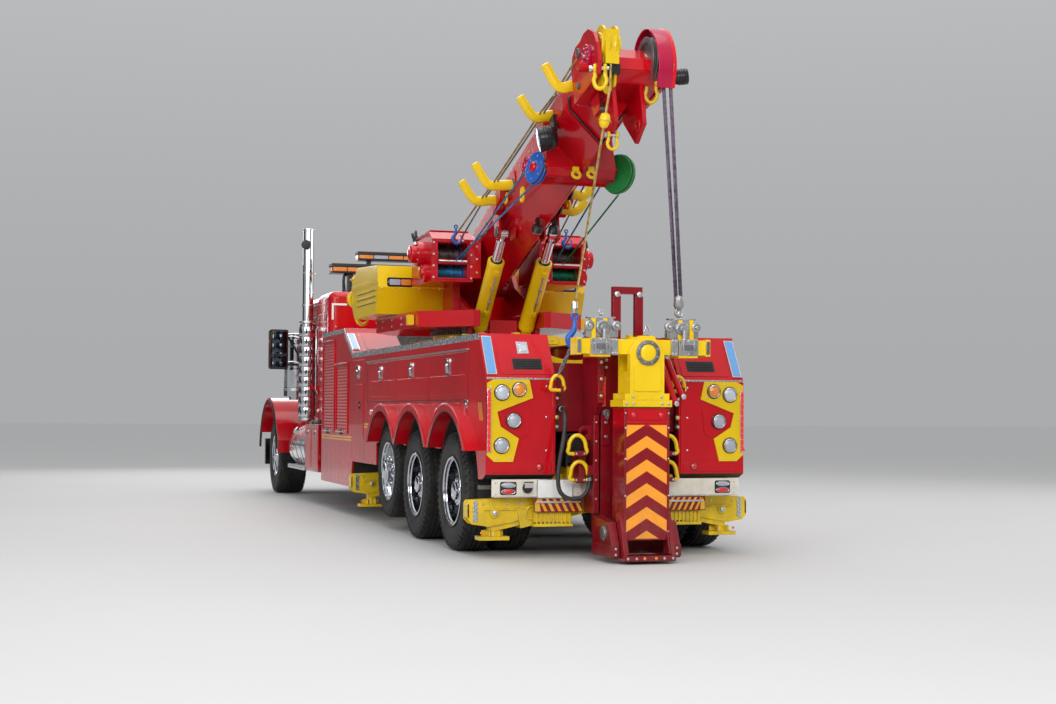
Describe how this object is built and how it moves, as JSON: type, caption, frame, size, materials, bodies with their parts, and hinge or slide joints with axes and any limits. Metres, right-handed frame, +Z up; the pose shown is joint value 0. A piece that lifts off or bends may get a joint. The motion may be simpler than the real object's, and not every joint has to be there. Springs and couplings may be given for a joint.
{
  "type": "heavy sliding rotator tow truck",
  "caption": "Conventional-cab heavy recovery truck with a sliding, slewing telescopic boom, two winches, side lockers, four outriggers and a folding rear underlift.",
  "frame": {"origin": "on the ground under the middle of the overall length, on the centreline", "axes": "+X forward, +Y to the truck's left, +Z up"},
  "size_m": [12.94, 2.98, 4.4643],
  "materials": {
    "body_red": "deep crimson gloss enamel",
    "accent_yellow": "yellow gloss enamel",
    "frame_black": "satin black chassis paint",
    "frame_red": "dark red enamel",
    "tyre": "black rubber",
    "polished_aluminium": "polished",
    "chrome": "chrome plate",
    "cast_steel": "machined and painted cast",
    "engine_grey": "grey painted casting",
    "glass": "tinted glass",
    "seat_cloth": "dark grey woven seat cloth",
    "mirror_black": "black mirror shell",
    "lamp_bar": "black housing with amber and clear lenses",
    "tread_plate": "bright tread plate",
    "hose_rubber": "black rubber hose",
    "rod_chrome": "hard chrome rod"
  },
  "bodies": {
    "chassis": {"frame_rails": "frame_black", "axle_beams": "cast_steel", "engine_block": "engine_grey", "cab_shell": "body_red", "cab_glass": "glass", "seats": "seat_cloth", "front_bumper": "chrome", "fuel_tanks": "polished_aluminium", "exhaust_and_intake": "chrome", "mirrors": "mirror_black", "light_bars": "lamp_bar", "body_left": "body_red", "body_right": "body_red", "deck": "tread_plate", "rear_bumper": "tread_plate", "underlift_guides": "frame_red", "outrigger_housings": "accent_yellow", "hydraulic_hose": "hose_rubber"},
    "knuckle_left": {"knuckle_left": "cast_steel"},
    "front_wheel_left": {"front_wheel_left": "polished_aluminium", "front_tyre_left": "tyre"},
    "lift_wheel_left": {"lift_wheel_left": "polished_aluminium", "lift_tyre_left": "tyre"},
    "mid_wheels_left": {"mid_wheels_left": "polished_aluminium", "mid_tyres_left": "tyre"},
    "rear_wheels_left": {"rear_wheels_left": "polished_aluminium", "rear_tyres_left": "tyre"},
    "cab_door_left": {"cab_door_left": "body_red"},
    "side_door_left": {"side_door_left": "body_red"},
    "knuckle_right": {"knuckle_right": "cast_steel"},
    "front_wheel_right": {"front_wheel_right": "polished_aluminium", "front_tyre_right": "tyre"},
    "lift_wheel_right": {"lift_wheel_right": "polished_aluminium", "lift_tyre_right": "tyre"},
    "mid_wheels_right": {"mid_wheels_right": "polished_aluminium", "mid_tyres_right": "tyre"},
    "rear_wheels_right": {"rear_wheels_right": "polished_aluminium", "rear_tyres_right": "tyre"},
    "cab_door_right": {"cab_door_right": "body_red"},
    "side_door_right": {"side_door_right": "body_red"},
    "hood": {"hood": "body_red"},
    "slide_carriage": {"slide_carriage": "frame_red"},
    "turret": {"turret": "accent_yellow", "winches": "body_red"},
    "boom_base": {"boom_base": "body_red"},
    "boom_extension": {"boom_extension": "body_red"},
    "lift_barrels": {"lift_barrels": "accent_yellow"},
    "lift_rods": {"lift_rods": "rod_chrome"},
    "underlift_mast": {"underlift_mast": "frame_red"},
    "stinger": {"stinger": "frame_red"},
    "stinger_extension": {"stinger_extension": "accent_yellow"},
    "crossbar": {"crossbar": "cast_steel"},
    "front_outrigger_left": {"front_outrigger_left": "accent_yellow"},
    "front_outrigger_right": {"front_outrigger_right": "accent_yellow"},
    "rear_outrigger_left": {"rear_outrigger_left": "accent_yellow"},
    "rear_outrigger_right": {"rear_outrigger_right": "accent_yellow"}
  },
  "joints": [
    {"name": "steer_left", "type": "hinge", "parent": "chassis", "child": "knuckle_left", "pos_m": [5.5725, 0.86, 0.555], "axis": [0, 0, 1], "range_deg": [-33, 33]},
    {"name": "front_spin_left", "type": "hinge", "parent": "knuckle_left", "child": "front_wheel_left", "pos_m": [5.5725, 0.99, 0.555], "axis": [0, 1, 0], "continuous": true},
    {"name": "lift_spin_left", "type": "hinge", "parent": "chassis", "child": "lift_wheel_left", "pos_m": [-2.1575, 1.07, 0.6], "axis": [0, 1, 0], "continuous": true},
    {"name": "mid_spin_left", "type": "hinge", "parent": "chassis", "child": "mid_wheels_left", "pos_m": [-3.4555, 0.914, 0.52], "axis": [0, 1, 0], "continuous": true},
    {"name": "rear_spin_left", "type": "hinge", "parent": "chassis", "child": "rear_wheels_left", "pos_m": [-4.8355, 0.914, 0.52], "axis": [0, 1, 0], "continuous": true},
    {"name": "cab_door_swing_left", "type": "hinge", "parent": "chassis", "child": "cab_door_left", "pos_m": [4.1245, 1.013, 1.8], "axis": [0, 0, -1], "range_deg": [0, 68]},
    {"name": "side_door_lift_left", "type": "hinge", "parent": "chassis", "child": "side_door_left", "pos_m": [-3.0725, 1.168, 1.746], "axis": [1, 0, 0], "range_deg": [0, 85]},
    {"name": "steer_right", "type": "hinge", "parent": "chassis", "child": "knuckle_right", "pos_m": [5.5725, -0.86, 0.555], "axis": [0, 0, 1], "range_deg": [-33, 33]},
    {"name": "front_spin_right", "type": "hinge", "parent": "knuckle_right", "child": "front_wheel_right", "pos_m": [5.5725, -0.99, 0.555], "axis": [0, 1, 0], "continuous": true},
    {"name": "lift_spin_right", "type": "hinge", "parent": "chassis", "child": "lift_wheel_right", "pos_m": [-2.1575, -1.07, 0.6], "axis": [0, 1, 0], "continuous": true},
    {"name": "mid_spin_right", "type": "hinge", "parent": "chassis", "child": "mid_wheels_right", "pos_m": [-3.4555, -0.914, 0.52], "axis": [0, 1, 0], "continuous": true},
    {"name": "rear_spin_right", "type": "hinge", "parent": "chassis", "child": "rear_wheels_right", "pos_m": [-4.8355, -0.914, 0.52], "axis": [0, 1, 0], "continuous": true},
    {"name": "cab_door_swing_right", "type": "hinge", "parent": "chassis", "child": "cab_door_right", "pos_m": [4.1245, -1.013, 1.8], "axis": [0, 0, 1], "range_deg": [0, 68]},
    {"name": "side_door_lift_right", "type": "hinge", "parent": "chassis", "child": "side_door_right", "pos_m": [-3.0725, -1.168, 1.746], "axis": [-1, 0, 0], "range_deg": [0, 85]},
    {"name": "hood_tilt", "type": "hinge", "parent": "chassis", "child": "hood", "pos_m": [6.2625, 0, 0.82], "axis": [0, 1, 0], "range_deg": [0, 55]},
    {"name": "turret_slide", "type": "slide", "parent": "chassis", "child": "slide_carriage", "axis": [1, 0, 0], "range_m": [-1.8, 0]},
    {"name": "turret_slew", "type": "hinge", "parent": "slide_carriage", "child": "turret", "pos_m": [-1.5675, 0, 2.05], "axis": [0, 0, 1], "continuous": true},
    {"name": "boom_raise", "type": "hinge", "parent": "turret", "child": "boom_base", "pos_m": [-1.2675, 0, 2.56], "axis": [0, 1, 0], "range_deg": [-13.3, 29.7]},
    {"name": "boom_extend", "type": "slide", "parent": "boom_base", "child": "boom_extension", "axis": [-0.9472, 0, 0.3206], "range_m": [0, 2.4]},
    {"name": "cylinder_swing", "type": "hinge", "parent": "turret", "child": "lift_barrels", "pos_m": [-2.2475, 0, 2.075], "axis": [0, 1, 0], "range_deg": [-18, 34]},
    {"name": "rod_slide", "type": "slide", "parent": "lift_barrels", "child": "lift_rods", "axis": [-0.694, 0, 0.72], "range_m": [-0.3, 0.6]},
    {"name": "underlift_raise", "type": "slide", "parent": "chassis", "child": "underlift_mast", "axis": [0, 0, 1], "range_m": [0, 0.45]},
    {"name": "stinger_fold", "type": "hinge", "parent": "underlift_mast", "child": "stinger", "pos_m": [-6.2375, 0, 0.24], "axis": [0, -1, 0], "range_deg": [0, 90]},
    {"name": "stinger_extend", "type": "slide", "parent": "stinger", "child": "stinger_extension", "axis": [0, 0, 1], "range_m": [0, 0.85]},
    {"name": "crossbar_pivot", "type": "hinge", "parent": "stinger_extension", "child": "crossbar", "pos_m": [-6.2775, 0, 1.76], "axis": [1, 0, 0], "range_deg": [-35, 35]},
    {"name": "front_outrigger_left_slide", "type": "slide", "parent": "chassis", "child": "front_outrigger_left", "axis": [0, 0.9781, -0.2079], "range_m": [0, 0.7]},
    {"name": "front_outrigger_right_slide", "type": "slide", "parent": "chassis", "child": "front_outrigger_right", "axis": [0, -0.9781, -0.2079], "range_m": [0, 0.7]},
    {"name": "rear_outrigger_left_slide", "type": "slide", "parent": "chassis", "child": "rear_outrigger_left", "axis": [0, 0.9781, -0.2079], "range_m": [0, 0.7]},
    {"name": "rear_outrigger_right_slide", "type": "slide", "parent": "chassis", "child": "rear_outrigger_right", "axis": [0, -0.9781, -0.2079], "range_m": [0, 0.7]}
  ],
  "couplings": [
    {"joint": "steer_right", "follows": "steer_left", "ratio": 1},
    {"joint": "cylinder_swing", "follows": "boom_raise", "ratio": 1.1},
    {"joint": "rod_slide", "follows": "boom_raise", "m_per_rad": 1.072}
  ]
}
